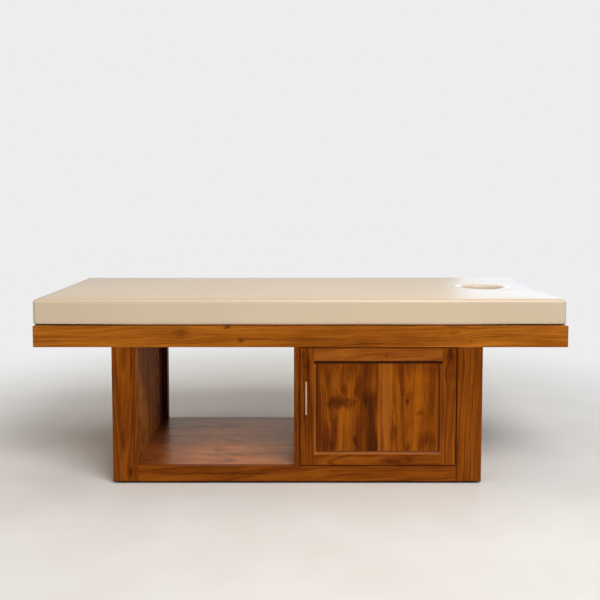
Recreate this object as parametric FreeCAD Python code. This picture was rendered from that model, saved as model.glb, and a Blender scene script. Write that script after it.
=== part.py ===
import FreeCAD, Part
import math
import os

from FreeCAD import Vector

# Spa bed on a box base with an open bay and a cabinet, in millimetres.
# The origin is on the floor under the middle of the base. +X runs to the head end,
# -Y is the front, where the cabinet door is, and +Z is up.

# Whole bed
top_length = 2000.0
top_width = 800.0
top_shift_to_head = 12.5
base_length = 1390.0
base_depth = 650.0
base_height = 514.0
cushion_length = 1996.0
cushion_width = 786.0
cushion_height = 98.0

# Fits that many pieces share
overrun = 5.0
arris = 1.2
loose_fit = 0.3
joint_fit = 0.1
pin_fit = 0.05

# Base walls
post_width = 95.0
rear_post_width = 85.0
front_post_thickness = 22.0
rear_post_thickness = 40.0
side_board_thickness = 18.0
lining_thickness = 16.0
lining_reveal = 16.0
batten_height = 40.0
batten_thickness = 40.0
wall_board_count = 4

# Base floor and rails
rail_height = 60.0
rear_top_rail_height = 60.0
floor_thickness = 20.0
floor_board_count = 5
side_bearer_width = 80.0
middle_bearer_width = 60.0
floor_ledger_width = 25.0
floor_ledger_height = 25.0
tenon_length = 30.0
tenon_shoulder = 10.0
tenon_thickness_share = 0.36

# Cabinet
bay_width = 588.0
divider_thickness = 20.0
back_panel_thickness = 12.0
back_cleat_width = 20.0

# Glides
glide_height = 7.0
glide_diameter = 40.0
glide_edge_round = 1.5
glide_inset = 15.0
glide_nail_diameter = 3.0
glide_nail_length = 18.0

# Top frame
apron_height = 80.0
apron_thickness = 25.0
platform_thickness = 15.0
platform_fit = 1.0
platform_joint_distance = 48.0
platform_ledger_width = 22.0
platform_ledger_height = 25.0
cross_bearer_width = 40.0
foot_bearer_setback = 80.0
corner_block_size = 50.0
corner_block_height = 36.0
corner_screw_diameter = 4.0
corner_screw_length = 34.0
corner_screw_head_diameter = 8.0
corner_screw_head_height = 2.0

# Bolts between the top frame and the base walls
top_bolt_diameter = 8.0
top_bolt_reach = 30.0
top_bolt_head_diameter = 16.0
top_bolt_head_height = 4.0
top_bolt_end_distance = 110.0

# Cushion and its face hole
cushion_head_inset = 5.5
cushion_corner_radius = 16.0
cushion_top_round = 12.0
cushion_bottom_round = 6.0
cushion_crown = 2.5
cushion_crown_run = 60.0
cushion_long_draw = 3.0
cushion_end_draw = 2.0
cover_thickness = 2.0
base_board_thickness = 9.0
face_hole_diameter = 180.0
face_hole_from_head = 229.0
face_hole_round = 17.0
rounding_steps = 4
crown_steps = 3

# Door
door_gap = 2.5
door_thickness = 22.0
door_stile_width = 52.5
door_top_rail_height = 49.5
door_bottom_rail_height = 42.5
door_panel_thickness = 8.0
door_panel_recess = 8.0
door_panel_tongue = 9.0
door_bead_width = 11.0
door_bead_drop = 0.6
door_tenon_length = 28.0

# Door handle
handle_length = 125.0
handle_diameter = 7.0
handle_stand_off = 30.0
handle_post_spacing = 96.0
handle_post_diameter = 6.0
handle_centre_height = 335.5
handle_from_edge = 23.0
handle_end_round = 1.0
handle_screw_diameter = 4.0
handle_screw_bite = 12.0
handle_screw_head_diameter = 8.0
handle_screw_head_height = 2.5

# Butt hinges
hinge_height = 60.0
hinge_leaf_thickness = 1.0
hinge_leaf_setback = 1.0
hinge_barrel_diameter = 5.0
hinge_barrel_stand = 0.2
hinge_pin_diameter = 2.0
hinge_pin_cap_diameter = 4.0
hinge_pin_cap_height = 1.6
hinge_knuckle_count = 5
hinge_knuckle_gap = 0.2
hinge_end_distance = 55.0
hinge_screw_spacing = 20.0
hinge_screw_count = 3
hinge_screw_diameter = 3.0
hinge_screw_head_diameter = 5.6
hinge_screw_length = 14.0

# Magnetic catch
catch_width = 15.0
catch_depth = 22.0
catch_height = 46.0
catch_top_distance = 44.0
catch_gap = 0.3
magnet_width = 9.0
magnet_depth = 10.0
magnet_height = 30.0
strike_width = 14.0
strike_height = 40.0
strike_thickness = 1.5
catch_screw_diameter = 3.0
catch_screw_length = 14.0
catch_screw_head_diameter = 6.0
catch_screw_head_height = 1.8
catch_screw_from_back = 6.0

# Planes that the pieces share
front = -base_depth / 2
back = base_depth / 2
base_bottom = glide_height
base_top = base_bottom + base_height
base_end = base_length / 2
opening_end = base_end - post_width
front_post_back = front + front_post_thickness
rear_post_front = back - rear_post_thickness
board_inside = base_end - side_board_thickness
rear_post_inside = board_inside - rear_post_width
lining_inside = opening_end + lining_reveal
lining_outside = lining_inside + lining_thickness
floor_top = base_bottom + rail_height
floor_bottom = floor_top - floor_thickness
divider_left = -opening_end + bay_width
divider_right = divider_left + divider_thickness
top_foot = top_shift_to_head - top_length / 2
top_head = top_shift_to_head + top_length / 2
top_back = front + top_width
top_middle = front + top_width / 2
top_surface = base_top + apron_height
platform_bottom = top_surface - platform_thickness
cushion_head = top_head - cushion_head_inset
cushion_foot = cushion_head - cushion_length
cushion_front = top_middle - cushion_width / 2
cushion_back = top_middle + cushion_width / 2
face_hole = Vector(cushion_head - face_hole_from_head, top_middle, 0)
ends = {"foot": -1, "head": 1}


def board(x, y, z, ease=arris):
    """A planed board between two limits on each axis, with its edges eased."""
    solid = Part.makeBox(x[1] - x[0], y[1] - y[0], z[1] - z[0], Vector(x[0], y[0], z[0]))
    return solid.makeFillet(ease, solid.Edges) if ease else solid


def plain(x, y, z):
    """A square-edged block between two limits on each axis."""
    return board(x, y, z, 0)


def mirrored(end, near, far):
    """The X limits of a piece that lies between two distances from the middle, at one end."""
    return sorted((end * near, end * far))


def planks(x, y, z, axis, count):
    """A row of equal boards, side by side along one axis."""
    limits = [list(x), list(y), list(z)]
    start, stop = limits[axis]
    row = []
    for number in range(count):
        limits[axis] = [start + (stop - start) * share / count for share in (number, number + 1)]
        row.append(board(*limits))
    return row


def rod(place, axis, diameter, length):
    """A round bar from a point, along an axis."""
    return Part.makeCylinder(diameter / 2, length, place, axis)


def headed(place, axis, shank, length, head, head_height):
    """A screw or bolt: its head starts at the point and its shank runs along the axis."""
    cap = rod(place, axis, head, head_height)
    return cap.fuse(rod(place + axis * head_height, axis, shank, length)).removeSplitter()


def drill(solid, holes):
    """The solid with every hole cut out of it."""
    for hole in holes:
        solid = solid.cut(hole)
    return solid


def rail(x, y, z, length):
    """A rail with a centred tenon on both ends, and the mortises that take them."""
    inset = (y[1] - y[0]) * (1 - tenon_thickness_share) / 2
    tenon_y = (y[0] + inset, y[1] - inset)
    tenon_z = (z[0] + tenon_shoulder, z[1] - tenon_shoulder)
    body = board(x, y, z)
    mortises = []
    for inner, outer in ((x[0], x[0] - length), (x[1], x[1] + length)):
        near = inner + math.copysign(arris, inner - outer)
        body = body.fuse(plain(sorted((near, outer)), tenon_y, tenon_z))
        deep = outer + math.copysign(joint_fit, outer - inner)
        mortises.append(
            plain(
                sorted((inner - math.copysign(overrun, outer - inner), deep)),
                (tenon_y[0] - joint_fit, tenon_y[1] + joint_fit),
                (tenon_z[0] - joint_fit, tenon_z[1] + joint_fit),
            )
        )
    return body.removeSplitter(), mortises


def save(name, solids):
    """Write one sub-part, which is one solid or a group of like ones."""
    shape = solids[0] if len(solids) == 1 else Part.makeCompound(solids)
    shape.exportStep(os.path.join("parts", name + ".step"))


# Glides: nine round pads nailed under the base, one of them at the origin
def glide_places():
    reach_x = base_end - glide_inset - glide_diameter / 2
    reach_y = back - glide_inset - glide_diameter / 2
    return [Vector(x, y, 0) for x in (-reach_x, 0, reach_x) for y in (-reach_y, 0, reach_y)]


def make_glides():
    up = Vector(0, 0, 1)
    glides = []
    for place in glide_places():
        pad = rod(place, up, glide_diameter, glide_height)
        rim = [edge for edge in pad.Edges if edge.BoundBox.ZMax < glide_height / 2]
        pad = pad.makeFillet(glide_edge_round, rim)
        nail_length = glide_height + glide_nail_length - glide_edge_round
        nail = rod(place + up * glide_edge_round, up, glide_nail_diameter, nail_length)
        glides.append(pad.fuse(nail).removeSplitter())
    save("glides", glides)


def nail_holes():
    diameter = glide_nail_diameter + 2 * joint_fit
    return [
        rod(place, Vector(0, 0, 1), diameter, glide_height + glide_nail_length + joint_fit)
        for place in glide_places()
    ]


# Base walls: a face post, vertical side boards, a rear post, battens and an inner lining
def make_walls(front_mortises, rear_mortises, hinge_holes, bolt_holes):
    full_height = (base_bottom, base_top)
    wall_depth = (front_post_back, rear_post_front)
    for name, end in ends.items():
        face_post = board(mirrored(end, opening_end, base_end), (front, front_post_back), full_height)
        save("front_post_" + name, [drill(face_post, front_mortises + hinge_holes)])
        rear_x = mirrored(end, rear_post_inside, board_inside)
        rear_post = board(rear_x, (rear_post_front, back), full_height)
        save("rear_post_" + name, [drill(rear_post, rear_mortises + nail_holes())])
        side_x = mirrored(end, board_inside, base_end)
        side = planks(side_x, (front_post_back, back), full_height, 1, wall_board_count)
        save("side_boards_" + name, side)
        lining_x = mirrored(end, lining_inside, lining_outside)
        lining = planks(lining_x, wall_depth, (floor_bottom, base_top), 1, wall_board_count)
        save("lining_boards_" + name, lining)
        batten_x = mirrored(end, lining_outside, board_inside)
        low = (floor_bottom, floor_top + batten_height)
        high = (base_top - batten_height, base_top)
        upright_y = (front_post_back, front_post_back + batten_thickness)
        battens = [
            plain(batten_x, wall_depth, low),
            plain(batten_x, upright_y, (low[1], high[0])),
            drill(plain(batten_x, wall_depth, high), bolt_holes),
        ]
        save("wall_battens_" + name, battens)


# Base rails, and the floors of the bay and the cabinet, which are let in between the walls
def make_rails():
    front_x = (-opening_end, opening_end)
    rear_x = (-rear_post_inside, rear_post_inside)
    low = (base_bottom, floor_top)
    front_rail, front_mortises = rail(front_x, (front, front_post_back), low, tenon_length)
    save("front_bottom_rail", [front_rail])
    rear_y = (rear_post_front, back)
    rear_rail, rear_mortises = rail(rear_x, rear_y, low, tenon_length)
    save("rear_bottom_rail", [drill(rear_rail, nail_holes())])
    top_z = (base_top - rear_top_rail_height, base_top)
    top_rail, top_mortises = rail(rear_x, rear_y, top_z, tenon_length)
    save("rear_top_rail", [top_rail])
    return front_mortises, rear_mortises + top_mortises


def make_floor():
    inside_y = (front_post_back, rear_post_front)
    boards = []
    for floor_x in ((-lining_inside, divider_left), (divider_right, lining_inside)):
        boards += planks(floor_x, inside_y, (floor_bottom, floor_top), 1, floor_board_count)
    save("floor_boards", boards)
    bearer_z = (base_bottom, floor_bottom)
    side_inner = board_inside - side_bearer_width
    for name, end in ends.items():
        bearer = plain(mirrored(end, side_inner, board_inside), inside_y, bearer_z)
        save("side_bearer_" + name, [drill(bearer, nail_holes())])
    middle = plain((-middle_bearer_width / 2, middle_bearer_width / 2), inside_y, bearer_z)
    save("middle_bearer", [drill(middle, nail_holes())])
    ledger_z = (floor_bottom - floor_ledger_height, floor_bottom)
    ledgers = []
    for end in ends.values():
        ledger_x = mirrored(end, middle_bearer_width / 2, side_inner)
        ledgers.append(plain(ledger_x, (inside_y[0], inside_y[0] + floor_ledger_width), ledger_z))
        ledgers.append(plain(ledger_x, (inside_y[1] - floor_ledger_width, inside_y[1]), ledger_z))
    save("floor_ledgers", ledgers)


# Cabinet: the divider, notched over the front rail to stand on the middle bearer, the back
# panel and the cleat that holds the panel to the divider
def make_cabinet(catch_holes):
    inside_z = (floor_top, base_top)
    divider_x = (divider_left, divider_right)
    divider = board(divider_x, (front, rear_post_front), (floor_bottom, base_top))
    notch = plain(divider_x, (front - overrun, front_post_back), (floor_bottom - overrun, floor_top))
    save("divider", [drill(divider, [notch] + catch_holes)])
    panel_front = rear_post_front - back_panel_thickness
    panel = board((divider_right, lining_inside), (panel_front, rear_post_front), inside_z)
    save("cabinet_back", [panel])
    cleat_x = (divider_right, divider_right + back_cleat_width)
    save("back_cleat", [board(cleat_x, (panel_front - back_cleat_width, panel_front), inside_z)])


# Top frame: four mitred aprons
def make_aprons():
    corners = [(top_foot, front), (top_head, front), (top_head, top_back), (top_foot, top_back)]
    inside = [
        (top_foot + apron_thickness, front + apron_thickness),
        (top_head - apron_thickness, front + apron_thickness),
        (top_head - apron_thickness, top_back - apron_thickness),
        (top_foot + apron_thickness, top_back - apron_thickness),
    ]
    for number, name in enumerate(("apron_front", "apron_head", "apron_back", "apron_foot")):
        after = (number + 1) % len(corners)
        outline = [corners[number], corners[after], inside[after], inside[number], corners[number]]
        base = Part.makePolygon([Vector(x, y, base_top) for x, y in outline])
        apron = Part.Face(base).extrude(Vector(0, 0, apron_height))
        long_edges = [edge for edge in apron.Edges if edge.Length > 2 * apron_height]
        save(name, [drill(apron.makeFillet(arris, long_edges), corner_screw_holes())])


def corner_places():
    """The inside corners of the apron frame, each with the way into the frame."""
    near_y = front + apron_thickness
    far_y = top_back - apron_thickness
    return [
        (Vector(x, y, base_top), way_x, way_y)
        for x, way_x in ((top_foot + apron_thickness, 1), (top_head - apron_thickness, -1))
        for y, way_y in ((near_y, 1), (far_y, -1))
    ]


def corner_screws(extra=0.0):
    """Two screws through each corner block, one into each apron."""
    screws = []
    seat = corner_block_size / 2
    head = corner_screw_head_diameter + 2 * extra
    for corner, way_x, way_y in corner_places():
        level = corner + Vector(0, 0, corner_block_height / 2)
        ways = (Vector(way_x, 0, 0), Vector(0, way_y, 0))
        for way, across in (ways, ways[::-1]):
            height = Vector(0, 0, corner_screw_head_diameter * abs(way.x) - corner_screw_head_diameter / 2)
            place = level + height + across * (seat / 2) + way * seat
            shank = corner_screw_diameter + 2 * extra
            length = corner_screw_length - corner_screw_head_height + extra
            screws.append(headed(place, way * -1, shank, length, head, corner_screw_head_height))
            if extra:
                mouth = rod(place, way, head, corner_block_size)
                screws.append(mouth)
    return screws


def corner_screw_holes():
    return corner_screws(joint_fit)


def make_corner_blocks():
    blocks = []
    for corner, way_x, way_y in corner_places():
        points = [corner, corner + Vector(way_x * corner_block_size, 0, 0)]
        points += [corner + Vector(0, way_y * corner_block_size, 0), corner]
        block = Part.Face(Part.makePolygon(points)).extrude(Vector(0, 0, corner_block_height))
        blocks.append(drill(block, corner_screw_holes()))
    save("corner_blocks", blocks)
    save("corner_screws", corner_screws())


# Cross bearers under the platform: one over each wall of the base and one at each overhang
def bearer_spans():
    wall_inner = board_inside - side_bearer_width
    half_middle = middle_bearer_width / 2
    foot = top_foot + foot_bearer_setback
    head = top_head - apron_thickness - corner_block_size
    spans = [(foot, foot + cross_bearer_width), (-board_inside, -wall_inner)]
    spans += [(-half_middle, half_middle), (wall_inner, board_inside)]
    spans += [(head - cross_bearer_width, head)]
    return spans


def hole_below_cushion(extra=0.0):
    """The round hole that the platform and the cushion's board have under the face hole."""
    start = face_hole + Vector(0, 0, base_top - overrun)
    length = apron_height + base_board_thickness + 2 * overrun
    return rod(start, Vector(0, 0, 1), face_hole_diameter + 2 * extra, length)


def make_bearers(bolt_holes):
    inside_y = (front + apron_thickness, top_back - apron_thickness)
    bearers = [
        drill(plain(span, inside_y, (base_top, platform_bottom)), bolt_holes) for span in bearer_spans()
    ]
    save("cross_bearers", bearers)


def make_platform_ledgers():
    ledger_z = (platform_bottom - platform_ledger_height, platform_bottom)
    near_y = front + apron_thickness
    far_y = top_back - apron_thickness
    foot = top_foot + apron_thickness
    head = top_head - apron_thickness
    edges = [foot] + [limit for span in bearer_spans() for limit in span] + [head]
    front_row = []
    back_row = []
    for start, stop in zip(edges[0::2], edges[1::2]):
        front_row.append(plain((start, stop), (near_y, near_y + platform_ledger_width), ledger_z))
        back_row.append(plain((start, stop), (far_y - platform_ledger_width, far_y), ledger_z))
    save("front_ledgers", front_row)
    save("back_ledgers", back_row)
    between_y = (near_y + platform_ledger_width, far_y - platform_ledger_width)
    save("foot_ledger", [plain((foot, foot + platform_ledger_width), between_y, ledger_z)])
    save("head_ledger", [plain((head - platform_ledger_width, head), between_y, ledger_z)])


def top_bolt_places():
    """Two bolts over each end wall, halfway across its battens."""
    wall_x = (lining_outside + board_inside) / 2
    reach_y = (front_post_back + top_bolt_end_distance, rear_post_front - top_bolt_end_distance)
    return [Vector(end * wall_x, y, platform_bottom) for end in ends.values() for y in reach_y]


def top_bolts(extra=0.0):
    down = Vector(0, 0, -1)
    shank_length = platform_bottom - base_top - top_bolt_head_height + top_bolt_reach + extra
    shank = top_bolt_diameter + 2 * extra
    head = top_bolt_head_diameter + 2 * extra
    return [
        headed(place, down, shank, shank_length, head, top_bolt_head_height) for place in top_bolt_places()
    ]


# Platform: two panels that meet a set distance short of the face hole, over the head wall
def make_platform():
    edge = apron_thickness + platform_fit
    y = (front + edge, top_back - edge)
    z = (platform_bottom, top_surface)
    joint = face_hole.x - face_hole_diameter / 2 - platform_joint_distance
    save("platform_panel", [plain((top_foot + edge, joint), y, z)])
    save("platform_head_panel", [plain((joint, top_head - edge), y, z).cut(hole_below_cushion())])


# Cushion: a sewn cover over foam on a thin board, with a round face hole
def cushion_level(height, inset):
    """The cushion's outline at one height: long sides drawn in between round corners."""
    x = (cushion_foot + inset, cushion_head - inset)
    y = (cushion_front + inset, cushion_back - inset)
    turn = cushion_corner_radius
    bow = turn * (1 - math.sin(math.pi / 4))
    level = top_surface + height
    middle_x = (x[0] + x[1]) / 2
    middle_y = (y[0] + y[1]) / 2

    def arc(*points):
        return Part.Arc(*[Vector(px, py, level) for px, py in points]).toShape()

    edges = [
        arc((x[0] + turn, y[0]), (middle_x, y[0] + cushion_long_draw), (x[1] - turn, y[0])),
        arc((x[1] - turn, y[0]), (x[1] - bow, y[0] + bow), (x[1], y[0] + turn)),
        arc((x[1], y[0] + turn), (x[1] - cushion_end_draw, middle_y), (x[1], y[1] - turn)),
        arc((x[1], y[1] - turn), (x[1] - bow, y[1] - bow), (x[1] - turn, y[1])),
        arc((x[1] - turn, y[1]), (middle_x, y[1] - cushion_long_draw), (x[0] + turn, y[1])),
        arc((x[0] + turn, y[1]), (x[0] + bow, y[1] - bow), (x[0], y[1] - turn)),
        arc((x[0], y[1] - turn), (x[0] + cushion_end_draw, middle_y), (x[0], y[0] + turn)),
        arc((x[0], y[0] + turn), (x[0] + bow, y[0] + bow), (x[0] + turn, y[0])),
    ]
    return Part.Wire(edges)


def cushion_form(skin=0.0, drop=0.0):
    """The cushion's crowned form, or the form that lies a skin's thickness inside it."""
    top_round = cushion_top_round - skin
    height = cushion_height - skin
    levels = [(-drop, skin + cushion_bottom_round)] if drop else []
    for step in range(rounding_steps + 1):
        angle = math.pi / 2 * step / rounding_steps
        inset = skin + cushion_bottom_round * (1 - math.sin(angle))
        levels.append((cushion_bottom_round * (1 - math.cos(angle)), inset))
    for step in range(rounding_steps + 1):
        angle = math.pi / 2 * step / rounding_steps
        inset = skin + top_round * (1 - math.cos(angle))
        levels.append((height - top_round * (1 - math.sin(angle)), inset))
    for step in range(1, crown_steps + 1):
        share = step / crown_steps
        rise = cushion_crown * (1 - (1 - share) ** 2)
        levels.append((height + rise, skin + top_round + cushion_crown_run * share))
    form = Part.makeLoft([cushion_level(*level) for level in levels], True, True)
    up = Vector(0, 0, 1)
    tool_length = drop + height + cushion_crown + 2 * overrun
    start = face_hole + up * (top_surface - drop - overrun)
    form = form.cut(rod(start, up, face_hole_diameter + 2 * skin, tool_length))
    top = top_surface + height + cushion_crown
    rim = [
        edge
        for edge in form.Edges
        if edge.BoundBox.ZMin > top - joint_fit and edge.BoundBox.XLength < 2 * face_hole_diameter
    ]
    return form.makeFillet(face_hole_round - skin, rim)


def make_cushion():
    cover = cushion_form().cut(cushion_form(cover_thickness, overrun))
    save("cushion_cover", [cover])
    inner = cover_thickness + loose_fit
    board_top = top_surface + base_board_thickness
    outline = cushion_level(0, inner + cushion_bottom_round)
    base_board = Part.Face(outline).extrude(Vector(0, 0, base_board_thickness))
    save("cushion_base_board", [base_board.cut(hole_below_cushion(inner))])
    below_z = (top_surface - overrun, board_top + loose_fit)
    below = plain((cushion_foot, cushion_head), (cushion_front, cushion_back), below_z)
    save("cushion_foam", [cushion_form(inner).cut(below)])


# Door: stiles and rails round two panel boards, with mitred beads in front of them
door_left = divider_right + door_gap
door_right = opening_end - door_gap
door_bottom = floor_top + door_gap
door_top = base_top - door_gap
door_back = front + door_thickness
light_left = door_left + door_stile_width
light_right = door_right - door_stile_width
light_bottom = door_bottom + door_bottom_rail_height
light_top = door_top - door_top_rail_height
panel_front = front + door_panel_recess
panel_back = panel_front + door_panel_thickness
handle_x = door_left + handle_from_edge


def make_door(handle_holes, hinge_holes, strike_holes):
    tongue = door_panel_tongue
    groove = plain(
        (light_left - tongue - joint_fit, light_right + tongue + joint_fit),
        (panel_front - joint_fit, panel_back + joint_fit),
        (light_bottom - tongue - joint_fit, light_top + tongue + joint_fit),
    )
    depth = (front, door_back)
    rail_x = (light_left, light_right)
    low_rail, low_mortises = rail(rail_x, depth, (door_bottom, light_bottom), door_tenon_length)
    high_rail, high_mortises = rail(rail_x, depth, (light_top, door_top), door_tenon_length)
    save("door_bottom_rail", [low_rail.cut(groove)])
    save("door_top_rail", [high_rail.cut(groove)])
    holes = low_mortises + high_mortises + [groove] + handle_holes + hinge_holes + strike_holes
    height = (door_bottom, door_top)
    save("door_latch_stile", [drill(board((door_left, light_left), depth, height), holes)])
    save("door_hinge_stile", [drill(board((light_right, door_right), depth, height), holes)])
    middle = (light_left + light_right) / 2
    panel_y = (panel_front, panel_back)
    panel_z = (light_bottom - tongue, light_top + tongue)
    save("door_panel_board_latch_side", [board((light_left - tongue, middle), panel_y, panel_z)])
    save("door_panel_board_hinge_side", [board((middle, light_right + tongue), panel_y, panel_z)])


def make_door_beads():
    corners = [
        (light_left, light_bottom, 1, 1),
        (light_right, light_bottom, -1, 1),
        (light_right, light_top, -1, -1),
        (light_left, light_top, 1, -1),
    ]

    def mitre(x, z, way_x, way_z):
        outer_front = Vector(x, front + door_bead_drop, z)
        outer_back = Vector(x, panel_front, z)
        inner_back = Vector(x + way_x * door_bead_width, panel_front, z + way_z * door_bead_width)
        return [outer_front, outer_back, inner_back]

    beads = []
    for number, corner in enumerate(corners):
        start = mitre(*corner)
        stop = mitre(*corners[(number + 1) % len(corners)])
        faces = [start, stop]
        for point in range(len(start)):
            after = (point + 1) % len(start)
            faces.append([start[point], start[after], stop[after], stop[point]])
        shell = Part.makeShell([Part.Face(Part.makePolygon(face + face[:1])) for face in faces])
        bead = Part.makeSolid(shell)
        if bead.Volume < 0:
            bead.reverse()
        beads.append(bead)
    save("door_beads", beads)


# Handle: a straight bar on two posts, screwed from behind the stile
def handle_post_heights():
    return [handle_centre_height + way * handle_post_spacing / 2 for way in (-1, 1)]


def handle_screws(extra=0.0):
    screws = []
    diameter = handle_screw_diameter + 2 * extra
    length = door_thickness + handle_screw_bite + extra
    for height in handle_post_heights():
        place = Vector(handle_x, door_back + handle_screw_head_height, height)
        head = (handle_screw_head_diameter, handle_screw_head_height)
        screws.append(headed(place, Vector(0, -1, 0), diameter, length, *head))
    return screws


def make_handle():
    bar_y = front - handle_stand_off
    foot = Vector(handle_x, bar_y, handle_centre_height - handle_length / 2)
    bar = rod(foot, Vector(0, 0, 1), handle_diameter, handle_length)
    rims = [edge for edge in bar.Edges if edge.BoundBox.ZLength < handle_end_round]
    save("handle_bar", [bar.makeFillet(handle_end_round, rims)])
    posts = []
    for height in handle_post_heights():
        place = Vector(handle_x, front, height)
        post = rod(place, Vector(0, -1, 0), handle_post_diameter, handle_stand_off)
        posts.append(drill(post.cut(bar), handle_screws(joint_fit)))
    save("handle_posts", posts)
    save("handle_screws", handle_screws())


# Hinges: two butt hinges with a slim barrel in front of the gap at the head end
hinge_x = opening_end - door_gap / 2
hinge_y = front - hinge_barrel_diameter / 2 - hinge_barrel_stand
hinge_centres = [door_bottom + hinge_end_distance + hinge_height / 2,
                 door_top - hinge_end_distance - hinge_height / 2]


def hinge_leaf(centre, leaf_x, knuckles):
    """A flat leaf against the edge of the wood, with its knuckles round the pin."""
    up = Vector(0, 0, 1)
    bottom = centre - hinge_height / 2
    leaf_back = front + min(front_post_thickness, door_thickness) - hinge_leaf_setback
    leaf = plain(leaf_x, (front, leaf_back), (bottom, bottom + hinge_height))
    pitch = hinge_height / hinge_knuckle_count
    for number in knuckles:
        start = bottom + number * pitch + hinge_knuckle_gap / 2
        stop = bottom + (number + 1) * pitch - hinge_knuckle_gap / 2
        barrel = rod(Vector(hinge_x, hinge_y, start), up, hinge_barrel_diameter, stop - start)
        leaf = leaf.fuse(barrel).fuse(plain(leaf_x, (hinge_y, front + overrun), (start, stop)))
    bore = rod(Vector(hinge_x, hinge_y, bottom - overrun), up,
               hinge_pin_diameter + 2 * pin_fit, hinge_height + 2 * overrun)
    return leaf.cut(bore).removeSplitter()


def hinge_screws(start_x, way, extra=0.0):
    """Countersunk screws through both leaves on one side, flush with the leaf."""
    screws = []
    middle_y = front + (min(front_post_thickness, door_thickness) - hinge_leaf_setback) / 2
    axis = Vector(way, 0, 0)
    shank = hinge_screw_diameter / 2 + extra
    head = hinge_screw_head_diameter / 2 + extra
    for centre in hinge_centres:
        for number in range(hinge_screw_count):
            height = centre + (number - (hinge_screw_count - 1) / 2) * hinge_screw_spacing
            place = Vector(start_x, middle_y, height)
            cone = Part.makeCone(head, shank, hinge_leaf_thickness, place, axis)
            screws.append(cone.fuse(Part.makeCylinder(shank, hinge_screw_length + extra, place, axis)))
    return screws


def make_hinges():
    post_leaf = (opening_end - hinge_leaf_thickness, opening_end)
    door_leaf = (door_right, door_right + hinge_leaf_thickness)
    post_knuckles = range(0, hinge_knuckle_count, 2)
    door_knuckles = range(1, hinge_knuckle_count, 2)
    post_screws = hinge_screws(post_leaf[0], 1)
    door_screws = hinge_screws(door_leaf[1], -1)
    post_holes = hinge_screws(post_leaf[0], 1, pin_fit)
    door_holes = hinge_screws(door_leaf[1], -1, pin_fit)
    post_leaves = [hinge_leaf(centre, post_leaf, post_knuckles) for centre in hinge_centres]
    door_leaves = [hinge_leaf(centre, door_leaf, door_knuckles) for centre in hinge_centres]
    save("hinge_leaves_post", [drill(leaf, post_holes) for leaf in post_leaves])
    save("hinge_leaves_door", [drill(leaf, door_holes) for leaf in door_leaves])
    save("hinge_screws_post", post_screws)
    save("hinge_screws_door", door_screws)
    up = Vector(0, 0, 1)
    pins = []
    for centre in hinge_centres:
        bottom = Vector(hinge_x, hinge_y, centre - hinge_height / 2)
        pin = rod(bottom, up, hinge_pin_diameter, hinge_height)
        for place in (bottom - up * hinge_pin_cap_height, bottom + up * hinge_height):
            pin = pin.fuse(rod(place, up, hinge_pin_cap_diameter, hinge_pin_cap_height))
        pins.append(pin.removeSplitter())
    save("hinge_pins", pins)
    return post_holes, door_holes


# Magnetic catch: a body with a magnet on the divider, and a strike plate on the door
catch_z = (base_top - catch_top_distance - catch_height, base_top - catch_top_distance)
catch_middle_z = (catch_z[0] + catch_z[1]) / 2
strike_back = door_back + strike_thickness
catch_front = strike_back + catch_gap


def catch_screws(extra=0.0):
    screws = []
    reach = (catch_height - catch_screw_head_diameter) / 2
    for way in (-1, 1):
        height = catch_middle_z + way * (reach - catch_screw_head_height)
        place = Vector(divider_right + catch_width + catch_screw_head_height,
                       catch_front + catch_depth - catch_screw_from_back, height)
        shank = catch_screw_diameter + 2 * extra
        length = catch_width + catch_screw_length + extra
        head = (catch_screw_head_diameter, catch_screw_head_height)
        screws.append(headed(place, Vector(-1, 0, 0), shank, length, *head))
    return screws


def strike_screw(extra=0.0):
    place = Vector(divider_right + door_gap + strike_width / 2 + loose_fit, strike_back, catch_middle_z)
    shank = catch_screw_diameter / 2 + extra
    head = catch_screw_head_diameter / 2 + extra
    cone = Part.makeCone(head, shank, strike_thickness, place, Vector(0, -1, 0))
    length = catch_screw_length + extra
    return cone.fuse(Part.makeCylinder(shank, length, place, Vector(0, -1, 0)))


def make_catch():
    body_x = (divider_right, divider_right + catch_width)
    body = plain(body_x, (catch_front, catch_front + catch_depth), catch_z)
    magnet_x = (body_x[0] + (catch_width - magnet_width) / 2, body_x[0] + (catch_width + magnet_width) / 2)
    magnet_z = (catch_middle_z - magnet_height / 2, catch_middle_z + magnet_height / 2)
    magnet = plain(magnet_x, (catch_front, catch_front + magnet_depth), magnet_z)
    save("catch_body", [drill(body.cut(magnet), catch_screws(joint_fit))])
    save("catch_magnet", [magnet])
    save("catch_screws", catch_screws())
    strike_x = (door_left + loose_fit, door_left + loose_fit + strike_width)
    strike_z = (catch_middle_z - strike_height / 2, catch_middle_z + strike_height / 2)
    strike = plain(strike_x, (door_back, strike_back), strike_z)
    save("strike_plate", [strike.cut(strike_screw(pin_fit))])
    save("strike_screw", [strike_screw()])


os.makedirs("parts", exist_ok=True)
make_glides()
front_mortises, rear_mortises = make_rails()
post_hinge_holes, door_hinge_holes = make_hinges()
bolt_holes = top_bolts(joint_fit)
make_walls(front_mortises, rear_mortises, post_hinge_holes, bolt_holes)
make_floor()
make_cabinet(catch_screws(joint_fit))
make_aprons()
make_corner_blocks()
make_bearers(bolt_holes)
make_platform_ledgers()
save("top_bolts", top_bolts())
make_platform()
make_cushion()
make_door(handle_screws(joint_fit), door_hinge_holes, [strike_screw(pin_fit)])
make_door_beads()
make_handle()
make_catch()
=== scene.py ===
import math

import bmesh
import bpy
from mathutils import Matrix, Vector, noise


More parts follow.
